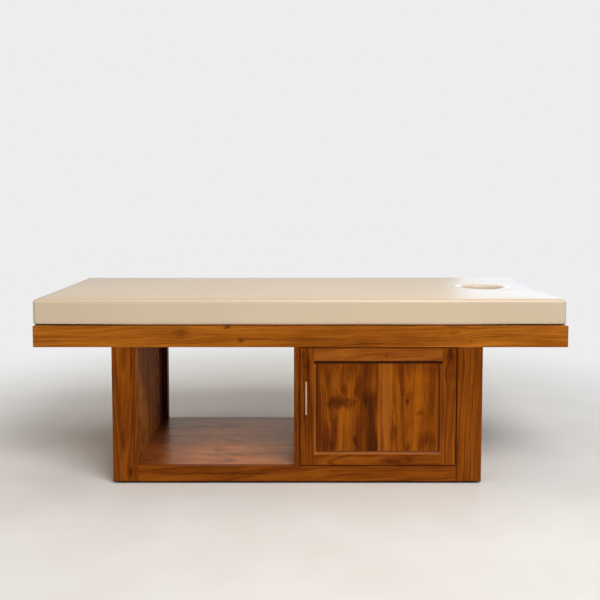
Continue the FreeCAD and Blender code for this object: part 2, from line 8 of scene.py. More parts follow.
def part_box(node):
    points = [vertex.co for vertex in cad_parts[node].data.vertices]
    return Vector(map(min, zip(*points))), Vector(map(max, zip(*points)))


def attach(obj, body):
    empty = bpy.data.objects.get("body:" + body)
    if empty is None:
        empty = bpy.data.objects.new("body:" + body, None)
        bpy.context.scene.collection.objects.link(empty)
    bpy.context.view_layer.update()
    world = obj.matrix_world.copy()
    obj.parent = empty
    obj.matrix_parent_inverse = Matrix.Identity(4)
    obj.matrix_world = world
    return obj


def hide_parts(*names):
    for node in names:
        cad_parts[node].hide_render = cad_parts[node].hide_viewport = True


for stray in ("Cube", "Light", "Camera"):
    if stray in bpy.data.objects:
        bpy.data.objects.remove(bpy.data.objects[stray])
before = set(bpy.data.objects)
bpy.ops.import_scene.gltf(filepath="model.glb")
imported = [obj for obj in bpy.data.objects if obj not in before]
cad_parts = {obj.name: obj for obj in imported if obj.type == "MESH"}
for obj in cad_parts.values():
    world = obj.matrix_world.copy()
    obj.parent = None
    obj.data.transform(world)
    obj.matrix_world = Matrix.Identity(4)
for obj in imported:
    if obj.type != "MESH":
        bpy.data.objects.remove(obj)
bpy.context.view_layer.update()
scene = bpy.context.scene
scene.view_settings.view_transform = "Standard"


# The studio. A pale matt floor that fades out into a white surround, a soft lamp in front and
# over the bed, and a tall window lamp behind its head end, as in a treatment room.
def stain(red, green, blue):
    """A colour as it is read off a sample, from 0 to 255, made ready for a shader."""
    shares = [value / 255 for value in (red, green, blue)]
    linear = [s / 12.92 if s <= 0.04045 else ((s + 0.055) / 1.055) ** 2.4 for s in shares]
    return (*linear, 1.0)


def put(tree, kind, *feeds, **settings):
    """Adds a shader node. Each feed is a socket to link, a value to set, or None to leave one."""
    made = tree.nodes.new("ShaderNode" + kind)
    for name, value in settings.items():
        setattr(made, name, value)
    for socket, feed in zip(made.inputs, feeds):
        if isinstance(feed, bpy.types.NodeSocket):
            tree.links.new(feed, socket)
        elif feed is not None:
            socket.default_value = feed
    return made


def reckon(tree, way, *feeds, clamp=False):
    """One sum on up to three numbers."""
    return put(tree, "Math", *feeds, operation=way, use_clamp=clamp).outputs[0]


def ease(tree, value, low, high, start=0.0, stop=1.0):
    """A smooth rise from start to stop while the value goes from low to high."""
    rise = put(tree, "MapRange", value, low, high, start, stop, interpolation_type="SMOOTHSTEP")
    return rise.outputs[0]


def tint(tree, share, first, second, way="MIX"):
    """Two colours mixed by a share."""
    feeds = (share, None, None, None, None, None, first, second)
    return put(tree, "Mix", *feeds, data_type="RGBA", blend_type=way).outputs[2]


def cloud(tree, place, stretch, detail=2.0, roughness=0.5):
    """Soft noise from 0 to 1, with a scale of its own along each axis."""
    scaled = put(tree, "VectorMath", place, stretch, operation="MULTIPLY").outputs[0]
    return put(tree, "TexNoise", scaled, None, 1.0, detail, roughness)


def blank_material(name):
    """A material with an output and nothing else."""
    material = bpy.data.materials.new(name)
    material.use_nodes = True
    material.node_tree.nodes.clear()
    return material, material.node_tree


def close(tree, shader, height, strength, depth):
    """Presses a relief into a finish and leads it to the material's output."""
    bump = put(tree, "Bump", strength, depth)
    tree.links.new(height, bump.inputs["Height"])
    tree.links.new(bump.outputs[0], shader.inputs["Normal"])
    put(tree, "OutputMaterial", shader.outputs[0])


# The camera sees a white surround, what lies in shade is lit by a dim one, and gloss mirrors a
# room with pale blue windows low down and a warm ceiling above them.
studio_white, room_light, mirror_light = 1.0, 0.21, 0.97
low_sky, high_sky = 0.15, 0.30
window_tone, ceiling_tone = stain(216, 229, 249), stain(232, 206, 174)
floor_pale, floor_worn = stain(226, 222, 216), stain(231, 228, 223)
floor_radius = 7.0
fade_start, fade_end = 0.95, 2.8
surround = bpy.data.worlds.new("surround")
scene.world = surround
surround.use_nodes = True
surround.node_tree.nodes.clear()
tree = surround.node_tree
path = put(tree, "LightPath")
seen = reckon(tree, "MAXIMUM", path.outputs["Is Camera Ray"], path.outputs["Is Transmission Ray"])
plain_light = put(tree, "Background", stain(255, 252, 246), room_light)
seen_white = put(tree, "Background", stain(237, 237, 237), studio_white)
upward = put(tree, "SeparateXYZ", put(tree, "TexCoord").outputs["Generated"]).outputs[2]
mirrored = tint(tree, ease(tree, upward, low_sky, high_sky), window_tone, ceiling_tone)
mirrored_white = put(tree, "Background", mirrored, mirror_light)
lit = put(tree, "MixShader", path.outputs["Is Glossy Ray"], plain_light.outputs[0],
          mirrored_white.outputs[0])
both = put(tree, "MixShader", seen, lit.outputs[0], seen_white.outputs[0])
put(tree, "OutputWorld", both.outputs[0])

disc = bmesh.new()
bmesh.ops.create_circle(disc, cap_ends=True, segments=96, radius=floor_radius)
floor_mesh = bpy.data.meshes.new("studio_floor")
disc.to_mesh(floor_mesh)
disc.free()
floor = bpy.data.objects.new("studio_floor", floor_mesh)
scene.collection.objects.link(floor)
material, tree = blank_material("studio_floor")
spot = put(tree, "TexCoord").outputs["Object"]
far = put(tree, "VectorMath", spot, operation="LENGTH").outputs[1]
matt = put(tree, "BsdfPrincipled")
speckle = cloud(tree, spot, (3, 3, 3), 3).outputs[0]
shade = tint(tree, ease(tree, speckle, 0.3, 0.7), floor_pale, floor_worn)
tree.links.new(shade, matt.inputs["Base Color"])
matt.inputs["Roughness"].default_value = 0.6
clear = put(tree, "BsdfTransparent")
fade = put(tree, "MixShader", ease(tree, far, fade_start, fade_end), matt.outputs[0], clear.outputs[0])
put(tree, "OutputMaterial", fade.outputs[0])
floor_mesh.materials.append(material)


def lamp(name, place, aim, size, power, colour=(1, 1, 1)):
    """A soft rectangular lamp that isn't seen itself."""
    data = bpy.data.lights.new(name, "AREA")
    data.shape = "RECTANGLE"
    data.size, data.size_y = size
    data.energy = power
    data.color = colour
    made = bpy.data.objects.new(name, data)
    scene.collection.objects.link(made)
    made.location = place
    made.rotation_euler = (Vector(aim) - Vector(place)).to_track_quat("-Z", "Y").to_euler()
    made.visible_camera = False
    return made


lamp("front_lamp", (1.3, -2.7, 3.5), (0.0, 0.0, 0.35), (2.6, 1.6), 141)
lamp("fill_lamp", (-2.8, -2.4, 2.1), (0.0, 0.0, 0.4), (1.8, 1.8), 22)
lamp("over_lamp", (-0.2, 0.4, 3.4), (-0.2, 0.1, 0.6), (2.6, 2.0), 24)
window = lamp("window_lamp", (2.32, 2.3, 1.45), (2.07, 0.0, 1.2), (2.3, 1.6), 19, (0.46, 0.72, 1.0))
window.visible_diffuse = False

# The camera stands where the photograph was taken, in front of the bed and a little over it.
camera_place = (0.0106, -3.177, 1.085)
camera_pitch = 3.95
camera_data = bpy.data.cameras.new("camera")
camera_data.lens = 46.3
camera_data.sensor_width = 36.0
camera_data.shift_y = -0.0845
camera = bpy.data.objects.new("camera", camera_data)
scene.collection.objects.link(camera)
camera.location = camera_place
camera.rotation_euler = (math.radians(90 - camera_pitch), 0, 0)
scene.camera = camera


# Teak, which every outside piece is cut from. Boards are sawn from a log, so each one shows
# the log's rings, with dark veins, open pores, a sheen of lacquer and, here and there, a knot.
def open_group(name, inputs, outputs):
    """A node group for an effect that several finishes share."""
    group = bpy.data.node_groups.new(name, "ShaderNodeTree")
    for socket, kind in inputs:
        group.interface.new_socket(socket, in_out="INPUT", socket_type="NodeSocket" + kind)
    for socket, kind in outputs:
        group.interface.new_socket(socket, in_out="OUTPUT", socket_type="NodeSocket" + kind)
    return group, group.nodes.new("NodeGroupInput").outputs, group.nodes.new("NodeGroupOutput")


def place_group(tree, group, **feeds):
    """Places a node group and feeds its inputs by name."""
    made = tree.nodes.new("ShaderNodeGroup")
    made.node_tree = group
    for name, feed in feeds.items():
        if isinstance(feed, bpy.types.NodeSocket):
            tree.links.new(feed, made.inputs[name])
        else:
            made.inputs[name].default_value = feed
    return made


teak_rings, given, result = open_group(
    "teak rings",
    [("Place", "Vector"), ("Dark", "Float"), ("Ring", "Float"), ("Waver", "Float"),
     ("Figure", "Float"), ("Light", "Color"), ("Body", "Color"), ("Vein", "Color")],
    [("Color", "Color"), ("Roughness", "Float"), ("Height", "Float")],
)
tree = teak_rings
noise_middle = (0.5, 0.5, 0.5)
log_lean, latewood_depth, vein_depth, pore_depth = 0.035, -0.42, -0.30, -0.10

# A log is never quite round or straight, so its rings sway and lean.
sway = cloud(tree, given["Place"], (1.8, 6.0, 6.0), 3.0, 0.5).outputs[1]
sway = put(tree, "VectorMath", sway, noise_middle, operation="SUBTRACT").outputs[0]
sway = put(tree, "VectorMath", sway, (0.0, 1.0, 1.0), operation="MULTIPLY").outputs[0]
sway = put(tree, "VectorMath", sway, None, None, given["Waver"], operation="SCALE").outputs[0]
swayed = put(tree, "VectorMath", given["Place"], sway, operation="ADD").outputs[0]
parts = put(tree, "SeparateXYZ", swayed).outputs
tilted = reckon(tree, "MULTIPLY_ADD", parts[0], log_lean, parts[2])
out = reckon(tree, "SQRT", reckon(tree, "ADD", reckon(tree, "MULTIPLY", parts[1], parts[1]),
                                  reckon(tree, "MULTIPLY", tilted, tilted)))

# Each ring darkens towards its end, in some years more than in others.
ripple = cloud(tree, given["Place"], (7.0, 60.0, 60.0), 2.0).outputs[0]
year = reckon(tree, "MULTIPLY_ADD", ripple, 0.45, reckon(tree, "DIVIDE", out, given["Ring"]))
season = reckon(tree, "FRACT", year)
strength = put(tree, "TexWhiteNoise", None, reckon(tree, "FLOOR", year), noise_dimensions="1D")
late = reckon(tree, "MULTIPLY", ease(tree, season, 0.3, 0.9), ease(tree, season, 1.0, 0.93))
late = reckon(tree, "MULTIPLY", late, reckon(tree, "MULTIPLY_ADD", strength.outputs[0], 0.85, 0.15))

# Pores and threads run with the grain, and broad bands of tone lie over them. A tone of 0 is
# the vein colour, one half the body and 1 the light colour.
flow = put(tree, "CombineXYZ", parts[0], out, reckon(tree, "MULTIPLY", parts[1], 0.3)).outputs[0]
pore = ease(tree, cloud(tree, given["Place"], (45.0, 1500.0, 1500.0), 1.0).outputs[0], 0.6, 0.7)
thread = cloud(tree, flow, (7.0, 620.0, 300.0), 2.0, 0.6).outputs[0]
tone = reckon(tree, "MULTIPLY_ADD", reckon(tree, "SUBTRACT", thread, 0.5), 0.5, 0.74)
for source, stretch, detail, amount in (
    (flow, (2.2, 120.0, 60.0), 3.0, 1.2),
    (given["Place"], (1.5, 15.0, 15.0), 2.0, 0.75),
    (given["Place"], (11.0, 30.0, 30.0), 3.0, 0.45),
):
    grain_part = reckon(tree, "SUBTRACT", cloud(tree, source, stretch, detail, 0.6).outputs[0], 0.5)
    tone = reckon(tree, "MULTIPLY_ADD", grain_part, amount, tone)
figured = reckon(tree, "MULTIPLY", late, given["Figure"])
tone = reckon(tree, "MULTIPLY_ADD", figured, latewood_depth, tone)
vein = ease(tree, cloud(tree, given["Place"], (1.0, 42.0, 42.0), 3.0, 0.62).outputs[0], 0.55, 0.72)
tone = reckon(tree, "MULTIPLY_ADD", pore, pore_depth, tone)
tone = reckon(tree, "MULTIPLY_ADD", vein, vein_depth, tone)
tone = reckon(tree, "MULTIPLY", tone, reckon(tree, "SUBTRACT", 1.0, given["Dark"]))
low_share = reckon(tree, "MULTIPLY", tone, 2.0, clamp=True)
high_share = reckon(tree, "MULTIPLY_ADD", tone, 2.0, -1.0, clamp=True)
colour = tint(tree, low_share, given["Vein"], given["Body"])
colour = tint(tree, high_share, colour, given["Light"])
tree.links.new(colour, result.inputs["Color"])
tree.links.new(reckon(tree, "MULTIPLY_ADD", late, 0.10, reckon(tree, "MULTIPLY", pore, 0.2)),
               result.inputs["Roughness"])
tree.links.new(reckon(tree, "MULTIPLY_ADD", pore, -0.8, reckon(tree, "MULTIPLY", thread, 0.5)),
               result.inputs["Height"])

teak_knot, given, result = open_group(
    "teak knot",
    [("Place", "Vector"), ("Middle", "Vector"), ("Width", "Float"), ("Bulge", "Float"),
     ("Core", "Float"), ("Dark", "Float")],
    [("Place", "Vector"), ("Dark", "Float")],
)
tree = teak_knot
off = put(tree, "VectorMath", given["Place"], given["Middle"], operation="SUBTRACT").outputs[0]
ragged = cloud(tree, given["Place"], (22.0, 45.0, 45.0), 4.0, 0.6).outputs[1]
ragged = put(tree, "VectorMath", ragged, noise_middle, operation="SUBTRACT").outputs[0]
ragged = put(tree, "VectorMath", ragged, None, None, reckon(tree, "MULTIPLY", given["Width"], 2.6),
             operation="SCALE").outputs[0]


def bell(spot, stretch):
    """1 at the knot's middle, falling away over its width."""
    squeezed = put(tree, "VectorMath", spot, stretch, operation="MULTIPLY").outputs[0]
    away = put(tree, "VectorMath", squeezed, operation="LENGTH").outputs[1]
    away = reckon(tree, "DIVIDE", away, given["Width"])
    power = reckon(tree, "MULTIPLY", reckon(tree, "MULTIPLY", away, away), -1.0)
    return reckon(tree, "EXPONENT", power)


swell = reckon(tree, "MULTIPLY", bell(off, (0.42, 0.8, 0.2)), given["Bulge"])
shift = put(tree, "VectorMath", off, (0.0, 1.0, 0.0), operation="MULTIPLY").outputs[0]
shift = put(tree, "VectorMath", shift, None, None, swell, operation="SCALE").outputs[0]
bent = put(tree, "VectorMath", given["Place"], shift, operation="SUBTRACT").outputs[0]
torn = put(tree, "VectorMath", off, ragged, operation="ADD").outputs[0]
core = reckon(tree, "MULTIPLY", ease(tree, bell(torn, (0.7, 1.0, 0.2)), 0.05, 1.1), given["Core"])
tree.links.new(bent, result.inputs["Place"])
tree.links.new(reckon(tree, "MAXIMUM", core, given["Dark"]), result.inputs["Dark"])

golden = (stain(188, 112, 32), stain(150, 80, 14), stain(74, 30, 2))
brown = (stain(148, 78, 12), stain(112, 52, 4), stain(54, 20, 1))
dark_figured = (stain(160, 86, 12), stain(106, 48, 3), stain(34, 12, 1))
sapwood = (stain(168, 95, 24), stain(137, 71, 13), stain(94, 42, 5))


def streak(tree, flat, along, across, middle, width, depth, low_end, high_end):
    """A dark band that runs along a board between two places, with a wandering edge."""
    end_fade = 0.03
    wander = cloud(tree, flat, (5.0, 22.0, 22.0), 3.0).outputs[0]
    wander = reckon(tree, "SUBTRACT", wander, 0.5)
    leaning = reckon(tree, "MULTIPLY_ADD", wander, width * 2.2, across)
    near = reckon(tree, "ABSOLUTE", reckon(tree, "SUBTRACT", leaning, middle))
    band = ease(tree, near, width * 0.66, width * 0.26, 0.0, depth)
    for limit, fade in ((low_end, -end_fade), (high_end, end_fade)):
        band = reckon(tree, "MULTIPLY", band, ease(tree, along, limit + fade, limit - fade))
    return band


def dark_cloud(tree, flat, along, across, middle, size, slope, depth):
    """A ragged dark patch. middle and size are along and across, and slope leans it."""
    tear = 2.6
    torn = cloud(tree, flat, (24.0, 40.0, 40.0), 4.0, 0.6).outputs[1]
    torn = put(tree, "SeparateXYZ", torn).outputs
    beside = reckon(tree, "SUBTRACT", across, middle[1])
    above = reckon(tree, "MULTIPLY_ADD", beside, -slope, reckon(tree, "SUBTRACT", along, middle[0]))
    away = []
    for distance, half_size, noise_part in ((above, size[0], torn[0]), (beside, size[1], torn[1])):
        share = reckon(tree, "DIVIDE", distance, half_size)
        share = reckon(tree, "MULTIPLY_ADD", noise_part, tear, share)
        away.append(reckon(tree, "SUBTRACT", share, tear / 2))
    away = put(tree, "CombineXYZ", *away).outputs[0]
    away = put(tree, "VectorMath", away, operation="LENGTH").outputs[1]
    return ease(tree, away, 1.5, 0.1, 0.0, depth)


def finish_node(node, material):
    """Gives a piece of the frame its finish."""
    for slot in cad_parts[node].material_slots:
        slot.material = material


def teak(node, axes, pith, stains, ring=0.007, waver=0.05, figure=1.0, knots=(), boards=0,
         roughness=0.34, specular=0.05, coat=0.0, streaks=(), washes=(), clouds=(), edge_darkening=(),
         sap=None, cross_ends=0.0):
    """Finishes a piece in teak. axes names the piece's axes along, across and through the board,
    and pith is where the middle of its log lies on them. boards is how many boards lie side by
    side, each from a log of its own. Knots have a place, a width, how far they bend the grain
    and how dark they are. Streaks run along the board between two places, washes darken a
    length of it, clouds are ragged dark patches, and the edge darkening, which is mostly painted
    shade by gaps, recesses and the floor, darkens it towards one side: the side, how far in it
    starts, how far in it is full, and its depth. sap is where pale sapwood ends across the board
    and how it leans. Over cross_ends at both ends the grain runs across."""
    low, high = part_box(node)
    order = ["XYZ".index(axis) for axis in axes]
    material, tree = blank_material(node)
    spot = put(tree, "TexCoord").outputs["Object"]
    parts = put(tree, "SeparateXYZ", spot).outputs
    along, across, through = (parts[number] for number in order)
    if cross_ends:
        low_end, high_end = low[order[0]] + cross_ends, high[order[0]] - cross_ends
        beyond = reckon(tree, "MAXIMUM", reckon(tree, "LESS_THAN", along, low_end),
                        reckon(tree, "GREATER_THAN", along, high_end))
        along, across = (put(tree, "Mix", beyond, None, first, second).outputs[0]
                         for first, second in ((along, across), (across, along)))
    flat = put(tree, "CombineXYZ", along, across, through).outputs[0]

    place, dark = flat, 0.0
    for middle, width, bulge, core in knots:
        knot = place_group(tree, teak_knot, Place=place, Middle=middle, Width=width, Bulge=bulge,
                           Core=core, Dark=dark)
        place, dark = knot.outputs["Place"], knot.outputs["Dark"]
    for middle, width, depth, low_end, high_end in streaks:
        band = streak(tree, flat, along, across, middle, width, depth, low_end, high_end)
        dark = reckon(tree, "MAXIMUM", band, dark)
    for middle, width, depth in washes:
        near = reckon(tree, "ABSOLUTE", reckon(tree, "SUBTRACT", along, middle))
        dark = reckon(tree, "ADD", dark, ease(tree, near, width, 0.0, 0.0, depth))
    for middle, size, slope, depth in clouds:
        shade = dark_cloud(tree, flat, along, across, middle, size, slope, depth)
        dark = reckon(tree, "MAXIMUM", dark, shade)
    for side, start, stop, depth in edge_darkening:
        number = "XYZ".index(side[1])
        edge, inwards = (low[number], 1) if side[0] == "-" else (high[number], -1)
        shade = ease(tree, parts[number], edge + inwards * start, edge + inwards * stop, 0.0, depth)
        dark = reckon(tree, "MAXIMUM", dark, shade)

    if boards:
        first_edge = low[order[1]]
        width = (high[order[1]] - first_edge) / boards
        count = reckon(tree, "DIVIDE", reckon(tree, "SUBTRACT", across, first_edge), width)
        count = reckon(tree, "FLOOR", count)
        middle = reckon(tree, "MULTIPLY_ADD", reckon(tree, "ADD", count, 0.5), width, first_edge)
        chance = put(tree, "TexWhiteNoise", None, reckon(tree, "ADD", count, pith[0] * 7 + 3.1),
                     noise_dimensions="1D")
        log = put(tree, "VectorMath", chance.outputs[1], (6.0, 0.08, 0.06), operation="MULTIPLY")
        centre = put(tree, "CombineXYZ", 0.0, middle, pith[2]).outputs[0]
        local = put(tree, "VectorMath", place, centre, operation="SUBTRACT").outputs[0]
        local = put(tree, "VectorMath", local, log.outputs[0], operation="ADD").outputs[0]
    else:
        local = put(tree, "VectorMath", place, pith, operation="SUBTRACT").outputs[0]

    def grain(paints):
        light, body, vein = paints
        return place_group(tree, teak_rings, Place=local, Dark=dark, Ring=ring, Waver=waver,
                           Figure=figure, Light=light, Body=body, Vein=vein)

    heart = grain(stains)
    colour = heart.outputs["Color"]
    if sap:
        border_fade = 0.003
        edge, lean_over = sap
        border = reckon(tree, "MULTIPLY_ADD", along, lean_over, across)
        wander = cloud(tree, flat, (9.0, 9.0, 9.0), 2.0).outputs[0]
        border = reckon(tree, "MULTIPLY_ADD", reckon(tree, "SUBTRACT", wander, 0.5), 0.012, border)
        colour = tint(tree, ease(tree, border, edge + border_fade, edge - border_fade), colour,
                      grain(sapwood).outputs["Color"])
    if boards:
        tone = reckon(tree, "MULTIPLY_ADD", chance.outputs[0], 0.34, 0.80)
        grey = put(tree, "CombineXYZ", tone, tone, tone).outputs[0]
        colour = tint(tree, 1.0, colour, grey, "MULTIPLY")
    shader = put(tree, "BsdfPrincipled")
    tree.links.new(colour, shader.inputs["Base Color"])
    gloss = reckon(tree, "ADD", heart.outputs["Roughness"], roughness)
    tree.links.new(gloss, shader.inputs["Roughness"])
    shader.inputs["Specular IOR Level"].default_value = specular
    shader.inputs["Coat Weight"].default_value = coat
    shader.inputs["Coat Roughness"].default_value = 0.14
    close(tree, shader, heart.outputs["Height"], 0.35, 0.0004)
    finish_node(node, material)


# The top frame: four golden teak aprons, mitred at the corners and screwed from inside. The
# front one is flat-sawn, with a small knot over the cabinet and one at the foot.
front_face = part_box("apron_front")[0].y
teak("apron_front", "XZY", (0.0, 0.415, -0.24), golden, ring=0.0062, waver=0.045,
     knots=[((0.648, 0.545, front_face), 0.006, 0.9, 0.5),
            ((0.594, 0.571, front_face), 0.018, 0.9, 0.25),
            ((-0.4355, 0.571, front_face), 0.022, 0.9, 0.25),
            ((-0.261, 0.597, front_face), 0.009, 0.6, 0.8),
            ((-0.212, 0.545, front_face), 0.010, 0.5, 0.7)],
     washes=[(0.05, 0.45, 0.17)])
teak("apron_back", "XZY", (0.7, 0.52, 0.26), golden, ring=0.0065, waver=0.07, figure=0.8,
     knots=[((-0.52, 0.548, 0.475), 0.012, 0.9, 0.9)])
teak("apron_head", "YZX", (0.3, 0.50, 0.82), golden, ring=0.0065, figure=0.8)
teak("apron_foot", "YZX", (-1.2, 0.53, -0.80), golden, ring=0.0065, figure=0.8)


# The base frame: posts with their grain upright, and rails tenoned between them. The lower
# edges are darkened with painted shadow from the gap under the base, and the rear posts are
# given a darker stain as painted shade, for the shade of the wall that they stand in.
# Painted shadow along the lower edges, from the gap under the base.
base_gap_shadow = ("-Z", 0.0035, 0.0015, 0.9)
teak("front_post_foot", "ZXY", (0.1, -0.652, -0.27), brown, ring=0.009, waver=0.04, figure=0.9,
     knots=[((0.045, -0.628, front_face), 0.012, 0.7, 0.8)], edge_darkening=[base_gap_shadow])
# Its edge by the door's hinge gap is darkened with painted shade.
teak("front_post_head", "ZXY", (0.9, 0.54, -0.24), brown, ring=0.008,
     edge_darkening=[base_gap_shadow, ("-X", 0.0035, 0.0010, 0.5)])
# Painted shade: the rear posts are stained darker than the front ones.
rear_post_painted_shade = (stain(94, 43, 6), stain(67, 28, 3), stain(30, 10, 1))
teak("rear_post_foot", "ZXY", (0.4, -0.60, 0.42), rear_post_painted_shade)
teak("rear_post_head", "ZXY", (1.4, 0.61, 0.40), rear_post_painted_shade)
teak("front_bottom_rail", "XZY", (0.4, -0.02, -0.20), brown, figure=0.5, edge_darkening=[base_gap_shadow])
glossy = {"roughness": 0.24, "specular": 0.24, "coat": 0.12}
teak("rear_bottom_rail", "XZY", (1.7, 0.0, 0.35), brown, figure=0.8, **glossy)
teak("rear_top_rail", "XZY", (2.7, 0.44, 0.36), brown, figure=0.8)
teak("divider", "ZYX", (0.5, -0.20, 0.10), brown)


# The walls of the base: upright boards outside, and a darker lining inside, darkened further
# with painted shade next to the rear post.
lining_stain = (stain(196, 124, 48), stain(152, 89, 28), stain(74, 36, 8))
for end, log_x in (("foot", -0.75), ("head", 0.60)):
    teak("side_boards_" + end, "ZYX", (0.2, 0.0, log_x), brown, boards=4)
    # Painted shade on the lining next to the rear post.
    teak("lining_boards_" + end, "ZYX", (0.5, 0.0, log_x + 0.02), lining_stain, boards=4,
         specular=0.02, roughness=0.55, edge_darkening=[("+Y", 0.085, 0.063, 0.8)])


# The floor of the bay and the cabinet: boards let in between the walls, flooded with gloss
# lacquer, so that it mirrors the room behind.
floor_stain = (stain(192, 112, 46), stain(150, 80, 27), stain(84, 40, 9))
floor_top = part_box("floor_boards")[1].z
# Its wash darkens the foot end of the bay as a painted reflection of the dark lining and post.
teak("floor_boards", "XYZ", (0.0, 0.0, -0.06), floor_stain, boards=5, waver=0.06,
     knots=[((-0.315, -0.138, floor_top), 0.018, 0.8, 0.7),
            ((-0.264, -0.263, floor_top), 0.020, 0.8, 0.7)],
     washes=[(-0.62, 0.28, 0.66)], **glossy)
teak("cabinet_back", "ZXY", (0.3, 0.20, 0.36), brown, ring=0.009)


# The door: two stiles, two rails and a bead round a panel of two wide boards. The left board
# is dark and burled, and the right one starts with a strip of pale sapwood.
# The door's edges along the gaps round it are darkened with painted shade.
low_gap_shade, high_gap_shade = ("-Z", 0.0040, 0.0010, 0.5), ("+Z", 0.0040, 0.0010, 0.5)
teak("door_latch_stile", "ZXY", (0.2, 0.10, -0.24), brown, waver=0.04, figure=0.7,
     knots=[((0.485, 0.026, front_face), 0.020, 0.3, 0.55),
            ((0.455, 0.034, front_face), 0.014, 0.3, 0.5)],
     edge_darkening=[("-X", 0.0035, 0.0010, 0.6), low_gap_shade, high_gap_shade])
teak("door_hinge_stile", "ZXY", (0.8, 0.50, -0.25), brown, waver=0.04, figure=0.7,
     knots=[((0.496, 0.571, front_face), 0.022, 0.4, 0.7),
            ((0.415, 0.574, front_face), 0.020, 1.0, 0.3)],
     edge_darkening=[("+X", 0.0035, 0.0010, 0.6), low_gap_shade, high_gap_shade])
teak("door_top_rail", "XZY", (0.5, 0.44, -0.20),
     (stain(162, 90, 27), stain(130, 65, 12), stain(56, 23, 3)), figure=0.6,
     knots=[((0.334, 0.489, front_face), 0.006, 0.5, 0.5)], edge_darkening=[("+Z", 0.0040, 0.0010, 0.6)])
teak("door_bottom_rail", "XZY", (0.3, 0.09, -0.27), brown, ring=0.009,
     knots=[((0.420, 0.096, front_face), 0.014, 0.9, 0.5)], edge_darkening=[("-Z", 0.0040, 0.0010, 0.6)])
# The beads are darkened with painted shade: towards the panel, all along the top and right beads, and
# at their right edge.
bead_width = 0.011
teak("door_beads", "XZY", (0.3, 0.30, -0.20),
     (stain(166, 94, 30), stain(138, 72, 16), stain(44, 14, 2)), figure=0.5, cross_ends=bead_width,
     edge_darkening=[("-Y", 0.0032, 0.0059, 0.75), ("+Z", bead_width + 0.002, bead_width + 0.001, 0.90),
            ("+X", bead_width + 0.001, bead_width - 0.001, 0.3), ("+X", 0.0025, 0.0005, 0.6)])
panel_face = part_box("door_panel_board_latch_side")[0].y
# Beside and under the beads the panels are darkened with painted shade, and each grows darker towards
# its top.
beside_bead, shade_under_bead = 0.0245, ("+Z", 0.0220, 0.0202, 0.6)
teak("door_panel_board_latch_side", "ZXY", (0.25, 0.14, -0.24), dark_figured, ring=0.0055,
     waver=0.04, figure=0.4,
     clouds=[((0.308, 0.165), (0.022, 0.050), 0.0, 0.62), ((0.368, 0.228), (0.050, 0.015), 0.4, 0.5),
             ((0.352, 0.178), (0.024, 0.010), 0.0, 0.45), ((0.418, 0.120), (0.040, 0.009), 0.0, 0.35),
             ((0.165, 0.105), (0.060, 0.040), 0.0, 0.4), ((0.163, 0.2185), (0.020, 0.009), 0.0, 0.75)],
     streaks=[(0.2785, 0.054, 0.58, 0.0, 0.345)], washes=[(0.12, 0.16, 0.12)],
     edge_darkening=[("-X", beside_bead, beside_bead - 0.003, 0.7), shade_under_bead, ("+Z", 0.108, 0.023, 0.22)])
teak("door_panel_board_hinge_side", "ZXY", (0.3, 0.42, -0.22),
     (stain(164, 88, 10), stain(116, 54, 3), stain(40, 14, 1)), ring=0.0055, waver=0.04, figure=0.45,
     knots=[((0.313, 0.4165, panel_face), 0.009, 0.9, 0.7),
            ((0.166, 0.489, panel_face), 0.012, 0.7, 0.6)],
     clouds=[((0.205, 0.364), (0.058, 0.013), 0.0, 0.5), ((0.162, 0.480), (0.032, 0.034), 0.0, 0.42),
             ((0.435, 0.500), (0.030, 0.026), 0.0, 0.4), ((0.270, 0.455), (0.010, 0.022), 0.0, 0.35)],
     edge_darkening=[("+X", beside_bead, beside_bead - 0.003, 0.7), shade_under_bead, ("+Z", 0.093, 0.023, 0.2)],
     sap=(0.353, -0.01))


# The woodwork that doesn't show: planed battens, bearers and ledgers, and plywood panels.
raw_stain = (stain(214, 178, 128), stain(196, 156, 104), stain(150, 108, 62))
for axes, nodes in (
    ("XYZ", ("floor_ledgers", "front_ledgers", "back_ledgers")),
    ("YXZ", ("side_bearer_foot", "side_bearer_head", "middle_bearer", "cross_bearers", "foot_ledger",
             "head_ledger")),
    ("YZX", ("wall_battens_foot", "wall_battens_head")),
    ("ZXY", ("corner_blocks", "back_cleat")),
):
    for node in nodes:
        teak(node, axes, (0.4, 0.03, -0.08), raw_stain, ring=0.005, figure=0.5, roughness=0.62,
             specular=0.3)
plywood_stain = (stain(222, 190, 144), stain(206, 170, 120), stain(168, 128, 82))
for node in ("platform_panel", "platform_head_panel", "cushion_base_board"):
    teak(node, "XYZ", (0.2, 0.3, 0.2), plywood_stain, ring=0.02, waver=0.2, figure=0.35,
         roughness=0.6, specular=0.3)


# The fittings: a satin steel handle, dark slim hinges, zinc screws, a plastic catch with its
# magnet, and black nylon glides.
def fitting(name, colour, worn, metallic, roughness, grit=(90, 90, 90), specular=0.5):
    """A metal or plastic finish with fine marks that run the way that the grit stretches."""
    material, tree = blank_material(name)
    spot = put(tree, "TexCoord").outputs["Object"]
    marks = cloud(tree, spot, grit, 3.0, 0.6).outputs[0]
    smudge = cloud(tree, spot, (14, 14, 14), 2.0).outputs[0]
    shader = put(tree, "BsdfPrincipled")
    tree.links.new(tint(tree, ease(tree, smudge, 0.4, 0.7), colour, worn), shader.inputs["Base Color"])
    shader.inputs["Metallic"].default_value = metallic
    shader.inputs["Specular IOR Level"].default_value = specular
    rough = reckon(tree, "MULTIPLY_ADD", marks, 0.2, roughness - 0.1)
    tree.links.new(rough, shader.inputs["Roughness"])
    close(tree, shader, marks, 0.2, 0.0002)
    return material


